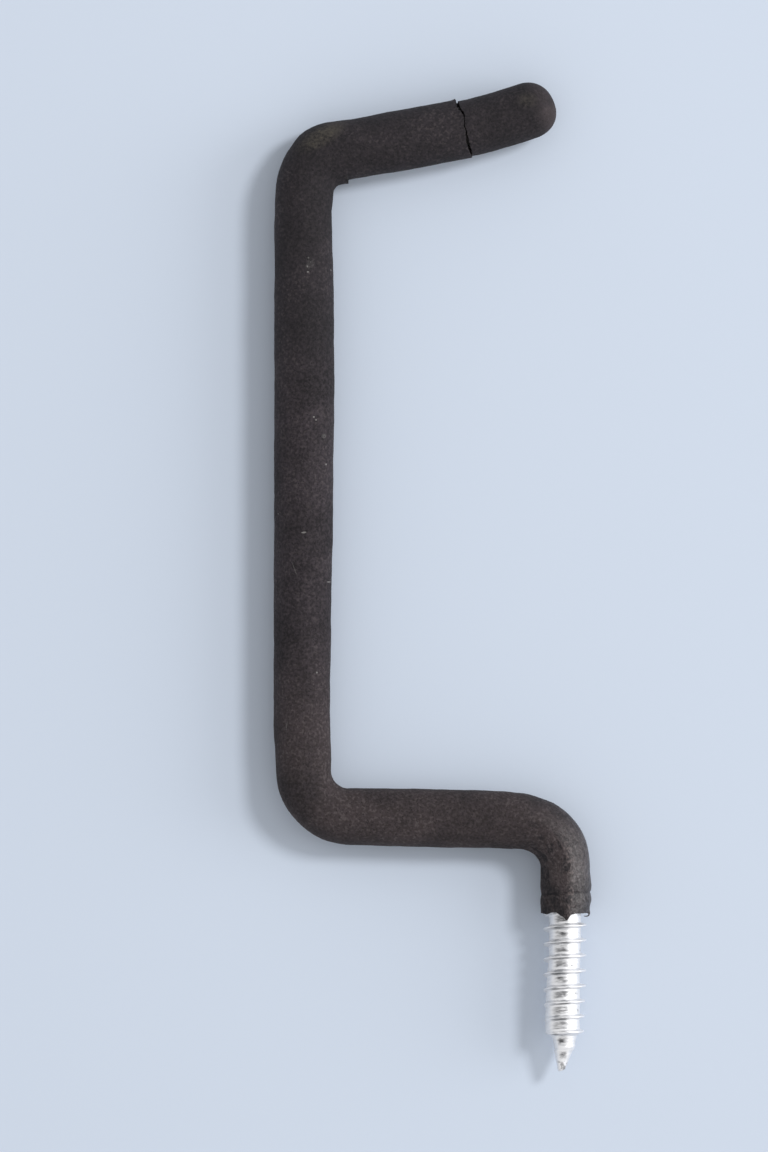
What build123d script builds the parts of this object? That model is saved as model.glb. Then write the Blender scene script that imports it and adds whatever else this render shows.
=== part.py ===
from build123d import *
from math import ceil, copysign, cos, degrees, floor, pi, radians, sin, tan
import os

os.makedirs("parts", exist_ok=True)

# Screw hook for hanging long things from a wall or a beam: a round steel bar with a wood-screw
# thread on one end, bent three times, and a soft foam sleeve over all of it but the thread.
# Millimetres and degrees. The hook lies flat: the bar's middle line is in the XY plane, the main
# bar runs along Y, and the origin is on the screw's axis where the sleeve ends.

# The bar's middle line, from corner to corner as if its three bends were sharp
screw_lean = 0.3
shank_length = 17.2
lower_arm_length = 48.8
lower_arm_fall = 1.1
main_bar_length = 122.0
upper_arm_length = 30.4
upper_arm_rise = 10.8
tip_length = 17.3

# Radii of the bends on the middle line, the last one a slight upward bend of the tip
shank_bend_radius = 8.8
lower_bend_radius = 8.6
upper_bend_radius = 7.2
tip_bend_radius = 80.0
tip_bend_start = 1.2

# Steel bar, cut square at its hidden end
rod_diameter = 7.94
rod_end_chamfer = 0.8

# Thread: a thin sharp ridge wound to the right round a slimmer core, and a gimlet point
thread_root_diameter = 5.9
thread_pitch = 2.822
flank_angle = 28.0
ridge_sunk = 0.3
thread_bare_length = 22.1
thread_covered_length = 5.4
thread_runout_length = 2.2
first_crest_depth = 2.2
point_length = 7.1
point_shoulder_length = 0.7
point_shoulder_diameter = 4.2
point_end_diameter = 1.1
point_ridge_height = 0.3
point_ridge_share = 0.75
point_skew = 0.75

# Foam sleeve, thicker and thinner along the main bar and squeezed thin at its neck
sleeve_clearance = 0.05
neck_diameter = 9.2
neck_bulge = 0.08
sleeve_diameter = 10.6
main_bar_thin_diameter = 10.3
main_bar_thick_diameter = 10.95
main_bar_sway = 0.2
lip_diameter = 10.95
lip_length = 6.0
tip_diameter = 10.6
tip_drop = 0.15
tip_wall = 3.3

# Crack across the sleeve, open above and at both edges, still joined underneath
crack_width = 0.26
crack_floor = 2.6

# How far the torn flap of the sleeve's end hangs over the thread
flap_length = 1.2

# Share of a radius at which a cut is sure to be clear of the sleeve
clear_of_edge = 1.1

# Straight facets that each bend is made of, on the sleeve and on what it hides
sleeve_bend_facets = 6
hidden_bend_facets = 4
tip_facets = 2

rod_radius = rod_diameter / 2
root_radius = thread_root_diameter / 2
point_radius = point_end_diameter / 2
shoulder_radius = point_shoulder_diameter / 2
bore_radius = rod_radius + sleeve_clearance
neck_radius = neck_diameter / 2
sleeve_radius = sleeve_diameter / 2
lip_radius = lip_diameter / 2
tip_radius = tip_diameter / 2
point_taper = (shoulder_radius - point_radius) / (point_length - point_shoulder_length)
point_base_radius = shoulder_radius + point_taper * point_shoulder_length


def heading(angle):
    """Unit vector in the plane of the hook, turned by an angle from +X."""
    return Vector(cos(radians(angle)), sin(radians(angle)), 0)


def across(point, angle):
    """Plane across the bar at a point of its middle line, facing along a heading."""
    return Plane(origin=point, x_dir=heading(angle - 90), z_dir=heading(angle))


def arc_planes(start, first_heading, turn, radius, facets):
    """Planes across the bar at even steps round an arc that begins at a point."""
    inward = copysign(90, turn)
    centre = start + heading(first_heading + inward) * radius
    angles = [first_heading + turn * step / facets for step in range(facets + 1)]
    return [across(centre - heading(angle + inward) * radius, angle) for angle in angles]


def bend_planes(corner, first_heading, last_heading, radius, facets):
    """Planes across the bar at even steps round the bend at a corner of the middle line."""
    turn = last_heading - first_heading
    start = corner - heading(first_heading) * radius * tan(radians(abs(turn)) / 2)
    return arc_planes(start, first_heading, turn, radius, facets)


# Corners of the middle line, walked from the sleeve's end, up the shank and round to the crack
screw_heading = 90 - screw_lean
lower_arm_heading = 180 - lower_arm_fall
main_bar_heading = 90
sleeve_end = Vector(0, 0, 0)
shank_corner = sleeve_end + heading(screw_heading) * shank_length
lower_corner = shank_corner + heading(lower_arm_heading) * lower_arm_length
upper_corner = lower_corner + heading(main_bar_heading) * main_bar_length
crack_centre = upper_corner + heading(upper_arm_rise) * upper_arm_length
shank_bend = (shank_corner, screw_heading, lower_arm_heading, shank_bend_radius)
lower_bend = (lower_corner, lower_arm_heading, main_bar_heading, lower_bend_radius)
upper_bend = (upper_corner, main_bar_heading, upper_arm_rise, upper_bend_radius)

# Directions at the screw: its axis runs down to the point, and its right side is towards +X
screw_down = heading(screw_heading + 180)
screw_right = heading(screw_heading - 90)
screw_axis = Axis(sleeve_end, screw_down)


def down_screw(depth, skew=0):
    """Plane across the screw at a depth below the sleeve's end, its centre moved to the left."""
    return across(sleeve_end + screw_down * depth - screw_right * skew, screw_heading)


def tip_planes(reach, drop=0):
    """Planes across the tip: straight for a moment past the crack, then bent slightly upward."""
    crack_plane = across(crack_centre + heading(upper_arm_rise - 90) * drop, upper_arm_rise)
    bend_start = crack_plane.origin + heading(upper_arm_rise) * tip_bend_start
    turn = degrees((reach - tip_bend_start) / tip_bend_radius)
    bend = arc_planes(bend_start, upper_arm_rise, turn, tip_bend_radius, tip_facets)
    return [crack_plane] + bend


def bar_planes(height, reach):
    """Planes across the hidden bar, from a height above the sleeve's end to past the crack."""
    planes = [down_screw(-height)]
    for bend in (shank_bend, lower_bend, upper_bend):
        planes += bend_planes(*bend, hidden_bend_facets)
    return planes + tip_planes(reach)


def core_radius(depth):
    """Radius of the thread's core: even on the shank, then a shoulder and a cone to the point."""
    past_shank = depth - thread_bare_length
    if past_shank < 0:
        return root_radius
    if past_shank < point_shoulder_length:
        share = past_shank / point_shoulder_length
        return root_radius + (shoulder_radius - root_radius) * share
    return point_base_radius - point_taper * past_shank


def core_skew(depth):
    """How far the point's centre lies to the left of the screw's axis."""
    return point_skew * max(depth - thread_bare_length, 0) / point_length


def ridge_height(depth):
    """Height of the ridge over the core: full on the shank and low on the point."""
    full = rod_radius - root_radius
    past_shank = depth - thread_bare_length
    share = min(max(past_shank / point_shoulder_length, 0), 1)
    return full + (point_ridge_height - full) * share


# Steel bar with its thread
with BuildPart() as screw_rod:
    # Round bar, bent, with its hidden end chamfered
    rod_planes = bar_planes(thread_covered_length, tip_length - tip_wall - rod_end_chamfer)
    for plane in rod_planes:
        with BuildSketch(plane):
            Circle(rod_radius)
    with BuildSketch(rod_planes[-1].offset(rod_end_chamfer)):
        Circle(rod_radius - rod_end_chamfer)
    loft(ruled=True)

    # Core of the thread, from the run-out under the sleeve to the shoulder of the point
    root_start = thread_covered_length - thread_runout_length
    with BuildSketch(Plane(origin=sleeve_end, x_dir=screw_right, z_dir=(0, 0, 1))):
        with BuildLine():
            Polyline(
                (0, thread_covered_length),
                (rod_radius, thread_covered_length),
                (root_radius, root_start),
                (root_radius, -thread_bare_length),
                (shoulder_radius, -thread_bare_length - point_shoulder_length),
                (0, -thread_bare_length - point_shoulder_length),
                close=True,
            )
        make_face()
    revolve(axis=screw_axis)

    # Point, rolled a little off the screw's axis
    shank_end = sleeve_end + screw_down * thread_bare_length
    point_end = shank_end + screw_down * point_length - screw_right * point_skew
    with BuildSketch(Plane(origin=shank_end, z_dir=point_end - shank_end)):
        Circle(point_base_radius)
    with BuildSketch(Plane(origin=point_end, z_dir=point_end - shank_end)):
        Circle(point_radius)
    loft(ruled=True)

    # Ridge of the thread, one section after another down the helix
    steps_per_turn = 12
    ridge_start = thread_runout_length / 2 - thread_covered_length
    ridge_end = thread_bare_length + point_length * point_ridge_share
    first_step = ceil((ridge_start - first_crest_depth) / thread_pitch * steps_per_turn)
    last_step = floor((ridge_end - first_crest_depth) / thread_pitch * steps_per_turn)
    for step in range(first_step, last_step + 1):
        turn = 2 * pi * step / steps_per_turn
        depth = first_crest_depth + thread_pitch * step / steps_per_turn
        centre = sleeve_end + screw_down * depth - screw_right * core_skew(depth)
        outward = screw_right * cos(turn) + Vector(0, 0, 1) * sin(turn)
        foot = core_radius(depth) - ridge_sunk
        crest = core_radius(depth) + ridge_height(depth)
        half_foot = (crest - foot) * tan(radians(flank_angle))
        with BuildSketch(Plane(origin=centre, x_dir=outward, z_dir=outward.cross(screw_down))):
            with BuildLine():
                Polyline((foot, -half_foot), (crest, 0), (foot, half_foot), close=True)
            make_face()
    loft(ruled=True)

screw_rod.part.label = "screw_rod"
export_step(screw_rod.part, "parts/screw_rod.step")


# Foam sleeve
with BuildPart() as foam_sleeve:
    # Neck: a thin skin that swells a little over each hidden turn of thread, with a crease between
    for height, swell in (
        (-flap_length, 0),
        (thread_pitch * 0.3, 0),
        (thread_pitch * 0.9, neck_bulge),
        (thread_pitch * 1.4, -neck_bulge),
        (thread_pitch * 1.9, neck_bulge),
    ):
        with BuildSketch(down_screw(-height)):
            Circle(neck_radius + swell)

    # Shank bend, where the skin grows from the neck to the full sleeve, and the lower bend
    for step, plane in enumerate(bend_planes(*shank_bend, sleeve_bend_facets)):
        growth = (1 - cos(pi * step / sleeve_bend_facets)) / 2
        with BuildSketch(plane):
            Circle(neck_radius + (sleeve_radius - neck_radius) * growth)
    for plane in bend_planes(*lower_bend, sleeve_bend_facets):
        with BuildSketch(plane):
            Circle(sleeve_radius)

    # Main bar, thin and bulging to the left in its lower part, thick and to the right above
    bar_start = bend_planes(*lower_bend, sleeve_bend_facets)[-1].origin
    bar_end = bend_planes(*upper_bend, sleeve_bend_facets)[0].origin
    for share, diameter, sway in (
        (0.12, main_bar_thin_diameter, -main_bar_sway),
        (0.25, main_bar_thin_diameter, -main_bar_sway),
        (0.66, main_bar_thick_diameter, main_bar_sway),
        (0.8, main_bar_thick_diameter, main_bar_sway),
    ):
        centre = bar_start + (bar_end - bar_start) * share + Vector(sway, 0, 0)
        with BuildSketch(across(centre, main_bar_heading)):
            Circle(diameter / 2)

    # Upper bend, and the upper arm flaring to the lip of the crack
    for plane in bend_planes(*upper_bend, sleeve_bend_facets):
        with BuildSketch(plane):
            Circle(sleeve_radius)
    for to_crack, radius in ((lip_length, sleeve_radius), (0, lip_radius)):
        with BuildSketch(across(crack_centre - heading(upper_arm_rise) * to_crack, upper_arm_rise)):
            Circle(radius)
    loft(ruled=True)

    # Tip past the crack, sagging a little, with a rounded end
    skin_tip_planes = tip_planes(tip_length - tip_radius, tip_drop)
    for plane in skin_tip_planes:
        with BuildSketch(plane):
            Circle(tip_radius)
    loft(ruled=True)
    with Locations(skin_tip_planes[-1].location):
        Sphere(tip_radius)

    # Bore, a push fit on the bar, closed at the tip
    for plane in bar_planes(-flap_length * 2, tip_length - tip_wall + sleeve_clearance):
        with BuildSketch(plane):
            Circle(bore_radius)
    loft(ruled=True, mode=Mode.SUBTRACT)

    # Crack: its line across the arm, as a share of the lip's radius and millimetres along the arm
    crack_line = [
        (clear_of_edge, -0.7),
        (0.86, -0.47),
        (0.65, -0.11),
        (0.6, 0.32),
        (0.38, 0.49),
        (0.12, 0.22),
        (-0.15, 0.32),
        (-0.41, 0.24),
        (-0.64, 0.3),
        (-0.86, 0.45),
        (-clear_of_edge, 0.6),
    ]
    near_bank = [(share * lip_radius, along - crack_width / 2) for share, along in crack_line]
    far_bank = [(share * lip_radius, along + crack_width / 2) for share, along in crack_line]
    crack_plane = Plane(
        origin=crack_centre - Vector(0, 0, crack_floor),
        x_dir=heading(upper_arm_rise + 90),
        z_dir=(0, 0, -1),
    )
    with BuildSketch(crack_plane):
        with BuildLine():
            Polyline(near_bank + far_bank[::-1], close=True)
        make_face()
    extrude(amount=-crack_floor - lip_radius * clear_of_edge, mode=Mode.SUBTRACT)

    # Torn end over the thread, as a share of the neck's radius and millimetres below the end
    torn_line = [
        (-clear_of_edge, -0.2),
        (-0.78, 0.04),
        (-0.53, -0.33),
        (-0.36, -0.28),
        (-0.08, flap_length / 2),
        (0.02, flap_length),
        (0.14, flap_length / 2),
        (0.24, 0.07),
        (0.44, -0.11),
        (clear_of_edge, -0.3),
    ]
    torn_edge = [(share * neck_radius, -depth) for share, depth in torn_line]
    reach = neck_radius * clear_of_edge
    end_plane = Plane(origin=sleeve_end, x_dir=screw_right, z_dir=(0, 0, 1))
    with BuildSketch(end_plane):
        with BuildLine():
            Polyline(torn_edge + [(reach, -2 * flap_length), (-reach, -2 * flap_length)], close=True)
        make_face()
    extrude(amount=reach, mode=Mode.SUBTRACT)

    # The far half of the end, cut square
    with BuildSketch(end_plane):
        with Locations((0, -flap_length)):
            Rectangle(2 * reach, 2 * flap_length)
    extrude(amount=-reach, mode=Mode.SUBTRACT)

foam_sleeve.part.label = "foam_sleeve"
export_step(foam_sleeve.part, "parts/foam_sleeve.step")
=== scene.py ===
import bpy
import numpy as np
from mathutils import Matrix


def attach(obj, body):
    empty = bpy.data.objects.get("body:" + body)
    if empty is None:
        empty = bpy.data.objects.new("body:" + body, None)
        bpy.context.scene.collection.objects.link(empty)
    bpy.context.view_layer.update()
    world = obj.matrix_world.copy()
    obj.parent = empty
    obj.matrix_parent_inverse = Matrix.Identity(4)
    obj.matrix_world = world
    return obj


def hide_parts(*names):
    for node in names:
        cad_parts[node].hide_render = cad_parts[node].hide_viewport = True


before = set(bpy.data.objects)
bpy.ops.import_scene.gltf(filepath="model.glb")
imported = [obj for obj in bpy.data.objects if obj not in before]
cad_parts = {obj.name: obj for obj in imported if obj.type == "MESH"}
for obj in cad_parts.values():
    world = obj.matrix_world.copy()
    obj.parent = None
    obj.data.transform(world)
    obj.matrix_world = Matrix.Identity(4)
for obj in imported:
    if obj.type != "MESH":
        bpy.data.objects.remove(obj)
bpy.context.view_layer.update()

# Camera, straight above the hook, which lies flat. All sizes below are in millimetres until
# they go into Blender, and the middle of the round bar lies on the plane z = 0.
metre = 1000.0
camera_height = 1400.0
picture_centre = (-33.59, 62.70)
picture_length = 213.7
lens_data = bpy.data.cameras.new("camera")
lens_data.lens = lens_data.sensor_width * camera_height / picture_length
camera = bpy.data.objects.new("camera", lens_data)
camera.location = (picture_centre[0] / metre, picture_centre[1] / metre, camera_height / metre)
bpy.context.collection.objects.link(camera)
bpy.context.scene.camera = camera


# Steel bar, one round rod 7.94 mm thick, bent three times cold, with a wood-screw thread rolled
# on its lower end and the whole of it bright zinc plated. Only the thread is bare. Its four legs
# are measured from corner to corner, the first from the sleeve's end and the last to the crack.
legs = np.array([17.2, 48.8, 122.0, 30.4])
leg_headings = np.radians([89.7, 178.9, 90.0, 10.8])
bend_radii = np.array([8.8, 8.6, 7.2])
tip_straight, tip_bend_radius, tip_room = 1.2, 80.0, 30.0
setbacks = bend_radii * np.tan(np.abs(np.diff(leg_headings)) / 2)
straights = legs - np.append(0, setbacks) - np.append(setbacks, 0)
arcs = bend_radii * np.abs(np.diff(leg_headings))
bend_marks = np.cumsum(np.column_stack([straights[:3], arcs]).ravel())
shank_bend_end, lower_bend_start, lower_bend_end, upper_bend_start, upper_bend_end = bend_marks[1:]
crack_mark = upper_bend_end + straights[3]
heading_marks = np.concatenate(
    [[0], bend_marks, [crack_mark + tip_straight, crack_mark + tip_straight + tip_room]]
)
heading_values = np.concatenate(
    [np.repeat(leg_headings, 2), [leg_headings[3] + tip_room / tip_bend_radius]]
)
walk_start, walk_step = -40.0, 0.05
walk = np.arange(walk_start, heading_marks[-1], walk_step)
walk_heading = np.interp(walk, heading_marks, heading_values)
walk_x = np.cumsum(np.cos(walk_heading)) * walk_step
walk_y = np.cumsum(np.sin(walk_heading)) * walk_step
walk_x -= np.interp(0, walk, walk_x)
walk_y -= np.interp(0, walk, walk_y)


def around_bar(distance, radius, angle, aside=0.0):
    """Points round the bar's bent middle line.

    The line's heading is even on each straight and changes evenly round each bend, and its place
    is the running sum of its heading. A point lies on the plane across the line at the distance,
    out from the line by the radius at the angle. Angle 0 is on the line's right, which is the
    hook's inner side on the main bar and the upper arm, and a quarter turn is straight up. The
    whole ring may be moved aside to the right.
    """
    heading = np.interp(distance, walk, walk_heading)
    to_right = radius * np.cos(angle) + aside
    x = np.interp(distance, walk, walk_x) + np.sin(heading) * to_right
    y = np.interp(distance, walk, walk_y) - np.cos(heading) * to_right
    z = radius * np.sin(angle)
    return np.stack(np.broadcast_arrays(x, y, z), -1)


def tube_faces(rows, columns, first=0):
    """Four-sided faces between neighbouring rings of a tube, pointing outwards when the rings
    follow each other along the bar and their points run from angle 0 up and round."""
    row, column = np.mgrid[: rows - 1, :columns]
    here = first + row * columns + column
    beside = first + row * columns + (column + 1) % columns
    return np.stack([here, here + columns, beside + columns, beside], -1).reshape(-1, 4)


def end_faces(ring, pole):
    """Three-sided faces that close a ring of points with one point, turned about with the ring."""
    return np.stack([ring, np.roll(ring, -1), np.full(len(ring), pole)], -1)[:, ::-1]


def straight_table(place, pairs):
    """Values at places, joined by straight lines between pairs of a place and its value."""
    return np.interp(place, *np.transpose(pairs))


class Reading:
    """An output of a finish's nodes. Sums, products and comparisons of readings add Math nodes."""

    def __init__(self, finish, socket):
        self.finish, self.socket = finish, socket

    def math(self, operation, *others, first=None):
        values = [self if first is None else first, *others]
        return self.finish.node("ShaderNodeMath", {"operation": operation}, dict(enumerate(values)))

    def __add__(self, other):
        return self.math("ADD", other)

    def __sub__(self, other):
        return self.math("SUBTRACT", other)

    def __rsub__(self, other):
        return self.math("SUBTRACT", self, first=other)

    def __mul__(self, other):
        return self.math("MULTIPLY", other)

    def __truediv__(self, other):
        return self.math("DIVIDE", other)

    __radd__ = __add__

    def larger(self, other):
        return self.math("MAXIMUM", other)

    def between(self, low, high):
        """0 below low, 1 above high and an eased rise between them, or a fall if low is higher."""
        settings = {"interpolation_type": "SMOOTHSTEP"}
        return self.finish.node("ShaderNodeMapRange", settings, {0: self, 1: low, 2: high})


class Finish:
    """A material, or the surround, with its shader and the nodes that are added one by one."""

    def __init__(self, painted, shader="Principled BSDF"):
        painted.use_nodes = True
        self.painted, self.tree = painted, painted.node_tree
        self.shader = self.tree.nodes[shader]
        self.place = self.node("ShaderNodeTexCoord", output="Object")

    def set(self, **inputs):
        """Fills or links the shader's own inputs, whose names have spaces for underscores."""
        for name, value in inputs.items():
            self.fill(self.shader.inputs[name.replace("_", " ")], value)

    def node(self, kind, settings={}, inputs={}, output=0):
        """Adds a node, sets it up, fills or links its inputs and gives back one output."""
        made = self.tree.nodes.new(kind)
        for name, value in settings.items():
            setattr(made, name, value)
        for name, value in inputs.items():
            self.fill(made.inputs[name], value)
        return Reading(self, made.outputs[output])

    def fill(self, socket, value):
        if isinstance(value, Reading):
            self.tree.links.new(value.socket, socket)
        else:
            socket.default_value = value

    def noise(self, size, detail=2.0, rough=0.5, place=None, swirl=0.0):
        """Cloudy noise whose blobs are about as wide as the size in millimetres."""
        inputs = {"Vector": place or self.place, "Scale": metre / size / 2, "Distortion": swirl}
        return self.node("ShaderNodeTexNoise", {}, {**inputs, "Detail": detail, "Roughness": rough})

    def cells(self, size):
        """Distance to the nearest of scattered points, in shares of their spacing."""
        inputs = {"Vector": self.place, "Scale": metre / size}
        return self.node("ShaderNodeTexVoronoi", {}, inputs)

    def mix(self, share, first, second):
        """First colour where the share is 0 and second colour where it is 1."""
        return self.node("ShaderNodeMix", {"data_type": "RGBA"}, {0: share, 6: first, 7: second}, 2)

    def along(self, axis, place=None):
        """Place along X, Y or Z in millimetres."""
        return self.node("ShaderNodeSeparateXYZ", {}, {0: place or self.place}, axis) * metre

    def stretched(self, shares, place=None):
        """A place whose X, Y and Z are multiplied by shares. Patterns grow where they are small."""
        inputs = {0: place or self.place, 1: shares}
        return self.node("ShaderNodeVectorMath", {"operation": "MULTIPLY"}, inputs)

    def reach(self, centre, size, turn=0.0):
        """Distance from a centre as seen from above, in shares of an oval's two half widths. The
        oval is so tall that height makes no difference."""
        oval_height = 10.0
        inputs = {
            "Vector": self.place,
            "Location": (centre[0] / metre, centre[1] / metre, 0),
            "Rotation": (0, 0, np.radians(turn)),
            "Scale": (size[0] / metre, size[1] / metre, oval_height),
        }
        local = self.node("ShaderNodeMapping", {"vector_type": "TEXTURE"}, inputs)
        return self.node("ShaderNodeVectorMath", {"operation": "LENGTH"}, {0: local}, "Value")

    def bump(self, height, depth, below=None):
        """Normal of a surface raised by the height times a depth in millimetres."""
        inputs = {"Height": height, "Distance": depth / metre}
        if below:
            inputs["Normal"] = below
        return self.node("ShaderNodeBump", {}, inputs)


def make_piece(name, points, faces, finish, node):
    """Puts points in millimetres and groups of faces into one piece that stands for a CAD node."""
    mesh = bpy.data.meshes.new(name)
    mesh.from_pydata((points / metre).tolist(), [], [f for group in faces for f in group.tolist()])
    mesh.shade_smooth()
    mesh.materials.append(finish.painted)
    piece = bpy.data.objects.new(name, mesh)
    bpy.context.collection.objects.link(piece)
    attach(piece, "root")
    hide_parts(node)
    return piece


# The bar's radius, its thread and its point, by depths below the sleeve's end
rod_radius, rod_end_chamfer = 3.97, 0.8
thread_pitch, first_crest, thread_tilt = 2.822, 1.97, (0.28, 0.35)
thread_top, runout_length, shank_depth, point_depth = -5.4, 2.2, 22.1, 29.2
crest_half, foot_half, hollow_flank = 0.12, 0.5, 1.25
nip_length, nip_depth = 1.4, 0.12
rod_end = crack_mark + 14.0


def bar_ring(depth, angle):
    """Radius of the bar at a depth below the sleeve's end.

    Above the thread it is the rod. Below it is the core, which thickens slowly down the shank
    and leans to the left, then a shoulder and a hollow taper to the blunt point, plus the
    ridge. The ridge's height is full near its crest line, which goes once round in each pitch
    on a plane tilted a little, and falls to the core along a hollow flank. It dies away down
    the point and into the run-out. Small nicks and waves roughen what is bare.
    """
    runout_end = thread_top + runout_length
    core = [(thread_top, rod_radius), (runout_end, 2.93), (8, 2.93), (11, 3.0), (16, 3.16)]
    core += [(shank_depth, 3.2), (shank_depth + 0.4, 2.3), (shank_depth + 3.2, 1.72)]
    core += [(point_depth - 2.1, 1.15), (point_depth - 0.25, 0.66), (point_depth, 0.42)]
    leaning = [(4, 0), (8, 0.05), (11, 0.25), (19, 0.38), (shank_depth, 0.33)]
    leaning += [(shank_depth + 0.3, 0)]
    core = straight_table(depth, core) - np.cos(angle) * straight_table(depth, leaning)
    crest = [(thread_top, rod_radius), (12, rod_radius), (shank_depth, 3.6)]
    crest += [(shank_depth + 0.5, 2.45), (shank_depth + 2.7, 1.93), (point_depth - 1, 0.7)]
    tilt = thread_tilt[0] * (1 - np.cos(angle)) + thread_tilt[1] * np.sin(angle)
    turns = (depth + tilt - first_crest) / thread_pitch - angle / (2 * np.pi)
    from_crest = np.abs(turns - np.round(turns)) * thread_pitch
    flank = np.clip((foot_half - from_crest) / (foot_half - crest_half), 0, 1)
    nicks = 0.012 * np.sin(5.1 * turns + 3 * angle) + 0.008 * np.sin(13.7 * turns + 7 * angle)
    plating = 0.012 * np.sin(3.1 * depth + 2 * angle) + 0.01 * np.sin(9.3 * depth - 3 * angle + 1)
    bare = np.clip((depth - runout_end) / runout_length, 0, 1)
    ridge = np.clip(straight_table(depth, crest) - core, 0, None) * flank**hollow_flank
    return core + ridge + bare * (nicks * flank + plating * (1 - flank))


ring_columns, bare_step, hidden_step = 96, 0.05, 1.2
turn_round = np.arange(ring_columns) * 2 * np.pi / ring_columns
bare_marks = np.arange(-point_depth, -thread_top + 0.2, bare_step)
hidden_marks = np.arange(bare_marks[-1] + hidden_step, rod_end - rod_end_chamfer, hidden_step)
end_marks = np.array([rod_end - rod_end_chamfer, rod_end])
bar_marks = np.concatenate([bare_marks, hidden_marks, end_marks])[:, None]
bar_radii = bar_ring(-bar_marks, turn_round)
bar_radii[-1] -= rod_end_chamfer
near_point = np.clip((-bar_marks - point_depth + nip_length) / nip_length, 0, 1)
nipped = nip_depth * near_point * (1 + np.cos(turn_round))
sways = [(shank_depth, 0), (shank_depth + 0.4, -0.04), (shank_depth + 3, 0.02)]
sways += [(shank_depth + 3.3, -0.18), (point_depth, -0.56)]
point_sway = straight_table(-bar_marks, sways)
bar_points = around_bar(bar_marks + nipped, bar_radii, turn_round, aside=point_sway)
end_places = np.array([-point_depth + 0.05, rod_end])
bar_ends = around_bar(end_places, 0.0, 0.0, aside=np.array([point_sway[0, 0] + 0.1, 0]))
bar_count = bar_points[..., 0].size
first_ring = np.arange(ring_columns)
last_ring = first_ring + bar_count - ring_columns
bar_faces = [
    tube_faces(len(bar_marks), ring_columns),
    end_faces(first_ring, bar_count)[:, ::-1],
    end_faces(last_ring, bar_count + 1),
]

# Zinc plate. A place on it is told by the turns of the thread, by how far it lies below the
# nearest crest and by how far round it is from the top, to the right if above 0. It is streaked
# dull near the crests and grimy in the grooves and at the point. Over this lies painted light:
# the grooves and the streaks along the top are darker, a painted reflection of the dark
# overhead; a painted shade line runs just under each crest; the streaks and the shade line fade
# on the side turned to the lamps, a painted highlight; and inside the sleeve the bar is painted
# near black as shade.
bright_zinc, dull_zinc = (0.82, 0.82, 0.835, 1), (0.34, 0.35, 0.37, 1)
dirt_and_shade, painted_crack_shade = (0.06, 0.06, 0.065, 1), (0.05, 0.047, 0.045, 1)
zinc = Finish(bpy.data.materials.new("zinc_plate"))
bar_x, bar_y, bar_z = (zinc.along(axis) for axis in "XYZ")
from_top = bar_x.math("ARCTAN2", bar_z)
tilt = (1 - from_top.math("SINE")) * thread_tilt[0] + from_top.math("COSINE") * thread_tilt[1]
thread_turns = (bar_y + first_crest - tilt) / -thread_pitch + from_top / (2 * np.pi) - 0.25
below_crest = (thread_turns + 0.5).math("FRACT") * thread_pitch - thread_pitch / 2
from_crest = below_crest.math("ABSOLUTE")
along_thread = zinc.node(
    "ShaderNodeCombineXYZ", {}, {0: thread_turns * thread_pitch / metre, 1: from_top * 0.5 / metre}
)
rolled = zinc.noise(0.2, 3.0, 0.6, along_thread)
patch = zinc.noise(1.3, 4.0, 0.6)
blot = zinc.noise(0.42, 2.0, 0.5, zinc.stretched((0.5, 1.5, 0.5)))
threaded = bar_y.between(-24.8, -23.6)
in_groove = from_crest.between(0.55, 1.0)
# Grooves along the top are painted darker, a painted reflection of the dark overhead; elsewhere the
# grooves carry patchy grime
on_top = (from_top + 0.25).math("ABSOLUTE").between(0.62, 0.16)
smudge_and_reflection = (in_groove * on_top).larger(in_groove * patch.between(0.62, 0.72) * 0.8)
grime_and_reflection = smudge_and_reflection * (0.22 + blot.between(0.38, 0.62) * 0.44 + rolled.between(0.44, 0.58) * 0.28)
at_point = bar_y.between(-26.6, -28.0) * zinc.noise(0.32, 3.0, 0.6).between(0.5, 0.6)
grime_and_reflection = grime_and_reflection.larger(at_point * 0.6)
# Painted highlight: on the side turned to the lamps the dark marks below are faded
glare = from_top.between(0.0, 0.35) * from_top.between(1.5, 1.3)
# Painted shade: a dark line just under each crest, left out at the far left and faded on the lamp
# side
crest_shade = below_crest.between(0.06, 0.16) * below_crest.between(0.6, 0.3)
crest_shade = crest_shade * patch.between(0.25, 0.6) * threaded * from_top.between(-1.0, -0.6)
# The streaks are darkest near the crests on the top, a painted reflection of the dark overhead
near_middle = (from_top + 0.15).math("ABSOLUTE").between(0.7, 0.35)
near_crest = threaded * from_crest.between(1.0, 0.3) * near_middle
streaks_and_reflections = rolled.between(0.46, 0.6) * (0.14 + near_crest * 0.75) * (1 - glare * 0.8)
# Painted shade: the bar inside the sleeve, seen through the crack, is painted near black
covered = bar_y.between(1.0, 2.0)
plate = zinc.mix(streaks_and_reflections, bright_zinc, dull_zinc)
plate = zinc.mix(grime_and_reflection.larger(crest_shade * (0.7 - glare * 0.6)), plate, dirt_and_shade)
zinc.set(
    Metallic=0.7,
    Base_Color=zinc.mix(covered, plate, painted_crack_shade),
    Roughness=0.38 + patch * 0.14 + grime_and_reflection * 0.2 + covered * 0.3,
    Normal=zinc.bump(rolled + patch * 0.6, 0.03),
)
make_piece(
    "steel_bar",
    np.concatenate([bar_points.reshape(-1, 3), bar_ends]),
    bar_faces,
    zinc,
    "screw_rod",
)


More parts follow.
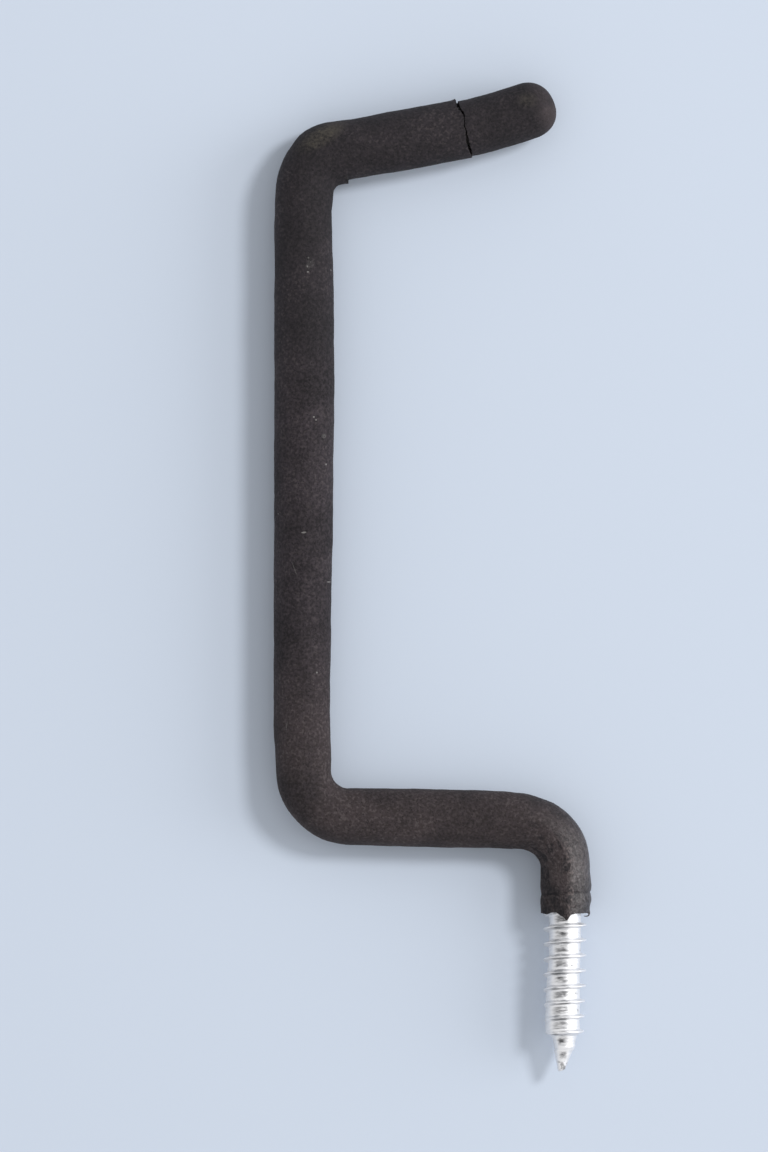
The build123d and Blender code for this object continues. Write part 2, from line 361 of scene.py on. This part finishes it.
# Foam sleeve, a dark closed-cell rubber tube pushed over the bar, with a moulded round tip. It
# is stretched thin over the thread at its torn lower end and has cracked across near the tip.
bore_radius, lip_radius, tip_radius = 4.02, 5.54, 5.27
tip_centre, tip_length, tip_fullness, tip_sway = crack_mark + 12.0, 5.45, 2.25, -0.1
neck_length, narrowest_mark, unevenness = 9, 3.8, 0.018
crease_mark, crease_slant, crease_depth, crease_width = 3.85, 0.25, 0.19, 0.18
edge_radius, edge_bulge, torn_reach = 4.3, 0.05, 4
lip_length, lip_flare, past_lip = 2.5, 0.25, 0.01
crack_reach, crack_rings, crack_crowding = 3.5, 15, 1.6
crack_foot, least_gape, bank_roughness = 0.48, 0.02, 0.05
fold_end = upper_bend_end + 1.66
bore_end = rod_end + 0.05
resting_depth = 5.46
main_bar = upper_bend_start - lower_bend_end
# What is on top of the sleeve looks this much farther out from the middle of the picture: along
# the neck, and at the crack along the arm and in shares of the way across it
neck_parallax, crack_parallax, crack_parallax_across = 0.2, 0.116, 0.057


def placed(start, span, pairs):
    """Pairs whose places are counted from a start in spans, put in millimetres along the bar."""
    return [(start + place * span, value) for place, value in pairs]


def eased(distance, pairs):
    """Values at distances along the bar, joined by half waves of a cosine between pairs."""
    marks, values = np.transpose(pairs)
    order = np.arange(len(marks))
    step, share = np.divmod(np.interp(distance, marks, order), 1)
    return np.interp(step + (1 - np.cos(np.pi * share)) / 2, order, values)


def swell(distance, angle, centre, length, width, turn):
    """A soft bump of height 1 on the sleeve, bell-shaped along it and round it."""
    round_off = np.abs((angle - np.radians(turn) + np.pi) % (2 * np.pi) - np.pi)
    return np.exp(-(((distance - centre) / length) ** 2) - (round_off / np.radians(width)) ** 2)


# The sleeve's radius, in pairs of a place and a size: at the neck, along the main bar in shares
# of its length, and along the arm from the crack
neck_sizes = [(0, 4.5), (0.8, 4.52), (2.5, 4.61), (narrowest_mark, 4.48), (5.3, 4.62)]
neck_sizes += [(7.2, 4.56), (8.5, 4.58)]
bar_sizes = [(0, 5.3), (0.12, 5.23), (0.25, 5.32), (0.45, 5.47), (0.66, 5.57), (0.8, 5.54)]
bar_sizes += [(0.9, 5.38)]
arm_sizes = [(-20, 5.47), (-12, 5.62), (-6, 5.58), (-1, lip_radius), (0, lip_radius)]
arm_sizes += [(past_lip, tip_radius)]
sleeve_sizes = neck_sizes + [
    (shank_bend_end, 5.3),
    (shank_bend_end + 16, 5.39),
    (lower_bend_start, 5.3),
    *placed(lower_bend_end, main_bar, bar_sizes),
    (upper_bend_start, 5.32),
    *placed(crack_mark, 1, arm_sizes),
]
# How far it sits to the right of the bar, in the same way
bar_sways = [(0, 0), (0.12, -0.12), (0.25, -0.03), (0.45, 0.19), (0.66, 0.33), (0.8, 0.3)]
bar_sways += [(1, 0.05)]
arm_sways = [(-20, 0), (-12, 0.12), (0, 0.14), (past_lip, 0.15)]
sleeve_sways = [
    (shank_bend_end, 0),
    (shank_bend_end + 6, 0.13),
    (lower_bend_start - 6, 0.13),
    *placed(lower_bend_end, main_bar, bar_sways),
    *placed(crack_mark, 1, arm_sways),
    (tip_centre, tip_sway),
]
# How much thicker the foam is on the outer side of the neck and of each bend
shank_stretch = [(0, 0), (1.2, 0.07), (2.8, 0.26), (5, 0.28), (6.5, 0.18), (8.3, 0), (12.8, 0.12)]
shank_stretch += [(15.5, 0), (17.7, -0.2), (19.5, -0.45), (22, -0.2), (25, 0)]
lower_stretch = [(50, 0), (53, -0.08), (56, -0.22), (60, -0.42), (66, -0.4), (70, -0.25), (74, 0)]
upper_stretch = [(168, 0), (172, -0.15), (175, -0.3), (177.5, -0.35), (179.5, -0.15)]
upper_stretch += [(182, 0.45), (183.4, 0.42), (186, 0.25), (190, 0)]
# The fold inside the upper bend, from where it starts to rise to the step at its end
fold_rise = [(-15.5, 0), (-10.5, 0.6), (-0.8, 0.62), (-0.12, 0.7), (0, 0.0)]
# Lumps and hollows of the neck: height, place along it, length, width and turn round it
neck_lumps = [
    (0.10, 3.2, 0.3, 16, 112),
    (0.09, 2.75, 0.28, 14, 142),
    (-0.13, 2.25, 0.45, 17, 115),
    (0.07, 1.95, 0.6, 16, 62),
    (-0.07, 1.2, 0.3, 20, 70),
    (-0.06, 7.2, 1.6, 16, 100),
    (0.05, 8.2, 2.2, 12, 78),
]


def sleeve_ring(distance, angle):
    """Radius of the sleeve and how far it sits to the right of the bar.

    It swells over each hidden turn of thread with a sharp, broken crease between, grows through
    the shank bend, is thin and to the left low on the main bar and thick and to the right above,
    flares on its outer side to the lip of the crack and sags past it. Inside the upper bend the
    foam is bunched up into a thick fold that ends in a step. Slow waves make it uneven.
    """
    front = np.clip(np.sin(angle), 0, 1)
    crease = crease_mark + neck_parallax * front + crease_slant * np.cos(angle)
    slant = (crease - narrowest_mark) * np.clip(1 - distance / neck_length, 0, 1)
    radius = eased(distance - slant, sleeve_sizes)
    broken = 0.6 + 0.4 * np.cos(3 * angle + 0.6)
    in_crease = np.exp(-(((distance - crease) / crease_width) ** 2))
    radius = radius - crease_depth * in_crease * broken
    for height, *where in neck_lumps:
        radius = radius + height * swell(distance, angle, *where)
    right_side, left_side = (np.clip(side * np.cos(angle), 0, 1) ** 1.5 for side in (1, -1))
    radius = radius + right_side * eased(distance, shank_stretch)
    radius = radius + left_side * (eased(distance, lower_stretch) + eased(distance, upper_stretch))
    to_lip = np.clip((distance - crack_mark + lip_length) / lip_length, 0, 1)
    to_lip = to_lip * (distance <= crack_mark)
    radius = radius + lip_flare * to_lip**2 * np.clip(-np.cos(angle), 0, 1) ** 2
    uneven = np.sin(1.1 * distance + 2 * angle) + np.sin(0.63 * distance - 3 * angle + 1)
    uneven = uneven + np.sin(0.27 * distance + angle + 2) + 0.6 * np.sin(2.3 * distance + 5 * angle)
    body = np.clip(distance / 12, 0.25, 1) * np.clip((tip_centre + 2 - distance) / 6, 0, 1)
    bunched = straight_table(distance, placed(fold_end, 1, fold_rise))
    inner = np.clip(np.cos(angle), 0, 1) ** 8
    radius = radius + unevenness * uneven * body + inner * bunched
    return radius, eased(distance, sleeve_sways)


# The crack seen from above: shares of the way across the arm from the hook's inner side to its
# outer, how far it has wandered along the arm there and how wide it gapes
crack_shares = [-1, -0.86, -0.64, -0.41, -0.15, 0.12, 0.38, 0.6, 0.65, 0.86, 1]
crack_wander = [0.5, 0.45, 0.3, 0.24, 0.32, 0.22, 0.49, 0.32, -0.08, -0.3, -0.34]
crack_gape = [0.04, 0.42, 0.54, 0.5, 0.26, 0.13, 0.15, 0.52, 0.66, 0.58, 0.55]


def crack_line(angle):
    """How far the crack wanders along the bar, and how wide it gapes, at an angle round it.

    Both follow the crack seen from above, from one edge of the arm to the other, with fine
    tears. Underneath, it runs on a little past each edge, closes and goes no further.
    """
    front = np.clip(np.sin(angle), 0, 1)
    seen = crack_parallax_across * front - np.cos(angle)
    across = np.where(np.sin(angle) >= 0, seen, np.sign(-np.cos(angle)))
    wander = np.interp(across, crack_shares, crack_wander) - crack_parallax * front
    gape = np.interp(across, crack_shares, crack_gape)
    tears = 0.05 * np.sin(23 * angle) + 0.035 * np.sin(41 * angle + 2) + 0.02 * np.sin(67 * angle)
    under = np.clip(-np.sin(angle) / crack_foot, 0, 1)
    return wander + tears, gape * (1 - under) + least_gape


def near_crack(distance, angle, side):
    """Moves rings near the crack so that the nearest follow its banks, one side of it."""
    wander, gape = crack_line(angle)
    nearness = np.clip(1 - np.abs(distance - crack_mark) / crack_reach, 0, 1) ** 2
    return distance + nearness * (wander + side * gape / 2)


# The torn end seen from above: shares of the way across the neck from left to right, and how far
# the rubber hangs down there
torn_shape = [(-1, -0.2), (-0.8, 0.07), (-0.68, -0.22), (-0.54, -0.33), (-0.37, -0.28)]
torn_shape += [(-0.26, 0.19), (-0.09, 0.54), (0.02, 1.15), (0.09, 1.12), (0.15, 0.54)]
torn_shape += [(0.25, 0.07), (0.46, -0.11), (0.74, -0.17), (1, -0.3)]


def torn_edge(angle):
    """How far the torn end hangs down at an angle round the neck: a pointed flap in front, a
    bitten edge beside it and a rough one behind."""
    front = straight_table(np.cos(angle), torn_shape)
    front = front - neck_parallax * np.clip(np.sin(angle), 0, 1)
    back = -0.2 + 0.16 * np.sin(5 * angle + 1) + 0.1 * np.sin(11 * angle)
    in_front = np.clip(np.sin(angle) * 4 + 0.5, 0, 1)
    fray = 0.02 * np.sin(37 * angle) + 0.02 * np.sin(53 * angle + 1)
    return front * in_front + back * (1 - in_front) + fray


def sleeve_marks(neck_step, far_step, reach, added=()):
    """Distances of the rings on each side of the crack, closer together at both of its banks and
    along the neck, with some added before it."""
    close = crack_mark - crack_reach * np.linspace(1, 0, crack_rings) ** crack_crowding
    neck = np.arange(0, neck_length, neck_step)
    along = np.arange(neck_length, close[0] - far_step / 2, far_step)
    before = np.sort(np.concatenate([neck, along, close, added]))
    crowded = crack_reach * np.linspace(0, 1, crack_rings) ** crack_crowding
    beyond = crack_mark + least_gape + crowded
    after = np.concatenate([beyond, np.arange(beyond[-1] + far_step, reach, far_step)])
    return before[:, None], after[:, None]


skin_columns = 160
skin_angle = np.arange(skin_columns) * 2 * np.pi / skin_columns
drop = torn_edge(skin_angle)


def sleeve_wall(rings, side, bore=None):
    """Distance, radius, angle and shift of the points of the skin, or of the bore if its radius
    is given. The torn end's and the crack's shapes are passed on to the rings beside them."""
    radius, aside = sleeve_ring(rings, skin_angle) if bore is None else (bore, 0.0)
    hanging = drop * np.clip(1 - rings / torn_reach, 0, 1) ** 2
    moved = near_crack(rings - hanging, skin_angle, side)
    return np.stack(np.broadcast_arrays(moved, radius, skin_angle, aside), -1)


# The whole sleeve ring by ring: down the bore from the crack, round the torn edge and up the
# skin to the crack, then the skin beyond it with the dome and its pole, and the rest of the bore
# with its end
at_step = fold_end + np.array([-0.6, -0.3, -0.16, -0.1, -0.04, 0.02, 0.2])
outer_before, outer_after = sleeve_marks(0.13, 0.75, tip_centre, at_step)
inner_before, inner_after = sleeve_marks(1.5, 2.5, bore_end)
rounding = np.broadcast_arrays(-drop - edge_bulge, edge_radius, skin_angle, 0.0)
dome_rings = 18
dome_share = np.sin(np.linspace(0, np.pi / 2, dome_rings + 2))[1:-1, None]
dome_radius = tip_radius * (1 - dome_share**tip_fullness) ** (1 / tip_fullness)
dome_run = tip_centre + tip_length * dome_share
dome = np.broadcast_arrays(dome_run, dome_radius, skin_angle, tip_sway)
walls = [
    sleeve_wall(inner_before, -1, bore_radius)[::-1],
    np.stack(rounding, -1)[None],
    sleeve_wall(outer_before, -1),
    sleeve_wall(outer_after, 1),
    np.stack(dome, -1),
    np.array([[[tip_centre + tip_length, 0.0, 0.0, tip_sway]]]),
    sleeve_wall(inner_after, 1, bore_radius),
    np.array([[[bore_end, 0.0, 0.0, 0.0]]]),
]
starts = np.cumsum([0] + [wall.shape[0] * wall.shape[1] for wall in walls])
rings = [wall.shape[0] for wall in walls]
column = np.arange(skin_columns)
near_lip, far_lip = starts[3] - skin_columns + column, starts[3] + column
far_bore = starts[6] + column
is_open = np.sin(skin_angle + np.pi / skin_columns) > -crack_foot

# Banks of the crack, torn rough from the skin down to the bore
bank_rings = 4
bank_share = np.linspace(0, 1, bank_rings + 2)[1:-1, None, None]


def bank(lip, bore, side):
    """Rings between the lip and the bore, pushed along the bar by small tears."""
    level = lip + (bore - lip) * bank_share
    rows = np.arange(bank_rings)[:, None]
    level[..., 0] += bank_roughness * np.sin(19 * skin_angle + 5 * rows + side)
    return level


walls += [bank(walls[2][-1], walls[0][0], -1), bank(walls[3][0], walls[6][0], 1)]
bank_places = starts[-1] + np.arange(2 * bank_rings * skin_columns).reshape(2, bank_rings, -1)
near_rows = np.array([near_lip, *bank_places[0], column])
far_rows = np.array([far_lip, *bank_places[1], far_bore])


def strip(first, second, where):
    """Four-sided faces between two rings, only in the columns where they are wanted."""
    return np.stack([first, second, np.roll(second, -1), np.roll(first, -1)], -1)[where]


sleeve_faces = [
    tube_faces(sum(rings[:3]), skin_columns),
    tube_faces(rings[3] + rings[4], skin_columns, starts[3]),
    end_faces(starts[5] - skin_columns + column, starts[5]),
    tube_faces(rings[6], skin_columns, starts[6])[:, ::-1],
    end_faces(starts[7] - skin_columns + column, starts[7])[:, ::-1],
    strip(near_lip, far_lip, ~is_open),
    strip(column, far_bore, ~is_open)[:, ::-1],
]
for row in range(bank_rings + 1):
    sleeve_faces.append(strip(near_rows[row], near_rows[row + 1], is_open))
    sleeve_faces.append(strip(far_rows[row], far_rows[row + 1], is_open)[:, ::-1])
for edge, turned in zip(np.flatnonzero(is_open != np.roll(is_open, 1)), (-1, 1)):
    ends = [near_rows[:-1, edge], near_rows[1:, edge], far_rows[1:, edge], far_rows[:-1, edge]]
    sleeve_faces.append(np.stack(ends, -1)[:, ::-turned])

# Shred of rubber that curls in under the right side of the torn end, a small tapered tube along
# a hooked line
shred_rings, shred_columns, shred_thickness, shred_taper = 13, 10, 0.2, 0.65
shred_share = np.linspace(0, 1, shred_rings)[:, None]
shred_angle = np.arange(shred_columns)[:, None] * 2 * np.pi / shred_columns
shred_line = (
    (1 - shred_share) ** 2 * np.array([4.35, 0.8, 0.5])
    + 2 * shred_share * (1 - shred_share) * np.array([4.8, -0.62, 0.7])
    + shred_share**2 * np.array([3.45, -0.3, 1.5])
)
shred_run = np.gradient(shred_line, axis=0)
shred_run /= np.linalg.norm(shred_run, axis=1)[:, None]
shred_out = np.cross(shred_run, [0, 0, 1])
shred_up = np.cross(shred_out, shred_run)
shred_radius = shred_thickness * (1 - shred_taper * shred_share**2)[..., None]
shred_points = shred_line[:, None] + shred_radius * (
    np.cos(shred_angle) * shred_out[:, None] + np.sin(shred_angle) * shred_up[:, None]
)
shred_start = starts[-1] + bank_places.size
shred_end = shred_start + shred_rings * shred_columns
shred_ring = np.arange(shred_columns)
sleeve_faces += [
    tube_faces(shred_rings, shred_columns, shred_start),
    end_faces(shred_start + shred_ring, shred_end)[:, ::-1],
    end_faces(shred_end - shred_columns + shred_ring, shred_end + 1),
]
shred = np.concatenate([shred_points.reshape(-1, 3), shred_line[:1], shred_line[-1:]])
run, radius, angle, aside = np.concatenate([wall.reshape(-1, 4) for wall in walls]).T
sleeve_points = np.concatenate([around_bar(run, radius, angle, aside), shred])
# Pressed flat underneath where it rests on its thicker stretches
sleeve_points[:, 2] = np.maximum(sleeve_points[:, 2], -resting_depth)
straight = np.stack([radius * np.cos(angle) + aside, run, radius * np.sin(angle)], -1)

# Foam skin, nearly black and finely mottled. Much of it is placed on the sleeve as if unbent,
# where Y runs along the bar, X to its right and Z up.
foam = Finish(bpy.data.materials.new("foam_rubber"))
unbent = foam.node("ShaderNodeAttribute", {"attribute_name": "unbent"}, output="Vector")
from_middle, run_mm, level_mm = (foam.along(axis, unbent) for axis in "XYZ")
grain = foam.noise(0.3, 2.0, 0.6)
fine = foam.noise(0.17, 2.0, 0.5)
clouds = foam.noise(5.0, 4.0, 0.6)
pores = foam.cells(0.62).between(0.34, 0.10)
mottle = (grain * 0.65 + fine * 0.35).between(0.38, 0.64)
crinkle = foam.noise(0.28, 3.0, 0.6, foam.stretched((1.0, 0.55, 1.0), unbent), 0.4)
folds = foam.noise(0.8, 2.0, 0.5, foam.stretched((1.0, 0.45, 1.0), unbent), 0.3)
neck = run_mm.between(25, 12)
upper_arm = run_mm.between(136, 150)
lit_side = from_middle.between(-0.1, 1.5)
upper_side = foam.along("Z").between(0.8, 1.6)
brown = run_mm.between(100, 62) * (clouds * 1.4 - 0.25)
# Painted shade at the step where the fold inside the upper bend ends
fold_step_shade = run_mm.between(fold_end - 0.8, fold_end - 0.3) * run_mm.between(fold_end + 0.3, fold_end)
fold_step_shade = fold_step_shade * from_middle.between(4.2, 5.0)
# Painted shade in the low parts of the neck's folds, lighter on its lit right
fold_shade = neck * folds.between(0.54, 0.42) * (0.85 - lit_side * 0.45)
# Painted shade along the neck's modelled crease, which also dims its gloss
from_crease = run_mm - from_middle * 0.056 - level_mm * 0.044 - crease_mark
crease_shade = from_crease.math("ABSOLUTE").between(0.32, 0.08)
glints = run_mm.between(15, 11) * from_middle.between(0.1, 0.7) * from_middle.between(2.2, 0.9)
specks = foam.noise(0.28, 1.0, 0.5).between(0.5, 0.7)
specks = specks * (0.08 + clouds.between(0.42, 0.62) * 0.2 + brown.larger(0) * 0.24)
# Rubbed lighter near the tip, with a painted lighter lit right side added
rubbed_and_lit = run_mm.between(tip_centre + 0.5, tip_centre + 4) * (0.4 + lit_side * 0.6)
worn_corner = foam.reach((-45.3, 144.0), (5.2, 2.0), 29).between(1.25, 0.2)
worn_tip = foam.reach((-7.1, 150.7), (1.9, 1.6)).between(1.3, 0.2) * 0.5
worn = worn_corner.larger(worn_tip) * upper_side * (clouds + grain).between(0.6, 1.1)
# Pale flecks on the main bar: middle, half widths, slant and strength
flecks = [
    ((-47.55, 121.55), (0.16, 0.2), 0, 0.8),
    ((-47.8, 119.95), (0.2, 0.28), 0, 1.1),
    ((-47.65, 118.9), (0.22, 0.18), 0, 1.0),
    ((-47.1, 120.7), (0.12, 0.14), 0, 0.7),
    ((-46.7, 120.2), (0.12, 0.12), 0, 0.6),
    ((-47.2, 120.3), (0.8, 1.3), -20, 0.12),
    ((-43.4, 119.4), (0.14, 0.22), 0, 0.8),
    ((-46.55, 92.1), (0.2, 0.2), 0, 1.2),
    ((-46.15, 91.55), (0.16, 0.2), 0, 1.1),
    ((-44.7, 88.6), (0.5, 0.5), 0, 0.35),
    ((-44.3, 83.35), (0.16, 0.2), 0, 1.2),
    ((-48.4, 70.75), (0.52, 0.17), 5, 1.4),
    ((-43.8, 61.6), (0.42, 0.12), 0, 1.2),
    ((-50.1, 63.9), (0.07, 1.7), 20, 0.5),
    ((-46.0, 44.85), (0.18, 0.2), 0, 1.3),
    ((-51.6, 34.9), (0.1, 1.1), -8, 0.4),
    ((-53.2, 74.2), (0.12, 0.16), 0, 0.8),
]
pale = 0.0
for place, size, slant, strength in flecks:
    pale = foam.reach(place, size, slant).between(1.1, 0.5) * strength + pale
pale = pale * fine.between(0.3, 0.5) * upper_side
# Coats over the mottled skin, each with its share and its colour. Several are painted light:
# shade in the neck's folds, at the fold's step and along the crease, highlights on the neck's
# crinkles and its glints, and a lighter lit right side on the rubbed tip.
black, dark_grey = (0.004, 0.003, 0.004, 1), (0.055, 0.044, 0.052, 1)
skin = foam.mix(mottle * 0.42 + clouds.between(0.3, 0.7) * 0.3, black, dark_grey)
coats = [
    (brown * 0.45, (0.062, 0.044, 0.038, 1)),
    (upper_arm * 0.4, (0.010, 0.009, 0.011, 1)),
    ((pores * 0.5).larger(fold_step_shade), (0.007, 0.006, 0.007, 1)),
    (fold_shade, (0.006, 0.005, 0.007, 1)),
    # Painted highlight on the tops of the neck's crinkles
    (neck * crinkle.between(0.48, 0.64) * 0.3, (0.073, 0.061, 0.062, 1)),
    (crease_shade * 0.55, (0.006, 0.005, 0.007, 1)),
    (glints * crinkle.between(0.5, 0.6) * 0.5, (0.17, 0.13, 0.125, 1)),
    (specks, (0.108, 0.09, 0.091, 1)),
    (rubbed_and_lit * 0.35, (0.085, 0.066, 0.068, 1)),
    (worn * 0.85, (0.060, 0.053, 0.043, 1)),
    (worn * fine.between(0.58, 0.68) * 0.4, (0.12, 0.108, 0.07, 1)),
    (pale.math("MINIMUM", 1.0), (0.17, 0.162, 0.158, 1)),
]
for share, colour in coats:
    skin = foam.mix(share, skin, colour)
# Where the neck is stretched its skin shines a little, most of all on its right
gloss = run_mm.between(18, 7) * (0.06 + lit_side * 0.94)
gloss = gloss * (0.78 + folds.between(0.4, 0.6) * 0.3)
gloss = gloss * (0.3 + crinkle.between(0.42, 0.56) * 0.35 + fine.between(0.45, 0.58) * 0.4)
gloss = gloss * (1 - crease_shade * 0.5)
pitted = foam.bump(grain - pores * 0.8 + fine * 0.5, 0.06)
foam.set(
    Base_Color=skin,
    Roughness=0.85 - neck * lit_side * 0.35,
    Normal=foam.bump((crinkle * 0.8 + folds) * neck, 0.5, pitted),
    Coat_Weight=gloss,
    Coat_Roughness=0.5,
    Specular_IOR_Level=0.3,
)
rubber_sleeve = make_piece(
    "rubber_sleeve", sleeve_points, sleeve_faces, foam, "foam_sleeve"
)
unbent_places = np.concatenate([straight, shred]) / metre
kept_places = rubber_sleeve.data.attributes.new("unbent", "FLOAT_VECTOR", "POINT")
kept_places.data.foreach_set("vector", unbent_places.ravel())


# Floor, a plain pale sheet that the hook lies on. It is measured in metres.
floor_half, floor_gap = 1.5, 0.00002
floor_level = sleeve_points[:, 2].min() / metre - floor_gap
corner_signs = (-1, -1), (1, -1), (1, 1), (-1, 1)
corners = [(x * floor_half, y * floor_half, floor_level) for x, y in corner_signs]
floor_mesh = bpy.data.meshes.new("floor")
floor_mesh.from_pydata(corners, [], [(0, 1, 2, 3)])
paper = Finish(bpy.data.materials.new("pale_paper"))
paper.set(Base_Color=(0.60, 0.67, 0.78, 1), Roughness=0.9)
floor_mesh.materials.append(paper.painted)
floor = bpy.data.objects.new("floor", floor_mesh)
bpy.context.collection.objects.link(floor)

# Light: a lamp high on the right, beyond the hook's tip, a soft low panel on its right, and an
# even white surround, brighter where the camera or a mirror sees it. Each lamp is given by its
# azimuth, elevation, size in metres and power.
lamp_distance = 2.5
surround_strength, added_where_seen = 0.62, 0.33
lamps = [("lamp", 27.5, 48, 0.56, 25.0), ("panel", 4, 20, 1.67, 24.0)]
for name, azimuth, elevation, size, power in lamps:
    turn, rise = np.radians(azimuth), np.radians(elevation)
    lamp_data = bpy.data.lights.new(name, "AREA")
    lamp_data.shape, lamp_data.size, lamp_data.energy = "DISK", size, power
    lamp = bpy.data.objects.new(name, lamp_data)
    aim = np.array([np.cos(turn) * np.cos(rise), np.sin(turn) * np.cos(rise), np.sin(rise)])
    lamp.location = np.array([*picture_centre, 0]) / metre + aim * lamp_distance
    lamp.rotation_euler = (np.pi / 2 - rise, 0, turn + np.pi / 2)
    bpy.context.collection.objects.link(lamp)
surround = Finish(bpy.data.worlds.new("surround"), "Background")
seen = surround.node("ShaderNodeLightPath", output="Is Camera Ray")
mirrored = surround.node("ShaderNodeLightPath", output="Is Glossy Ray")
brightness = surround_strength + seen.larger(mirrored) * added_where_seen
surround.set(Color=(1, 1, 1, 1), Strength=brightness)
bpy.context.scene.world = surround.painted
bpy.context.scene.view_settings.view_transform = "Standard"
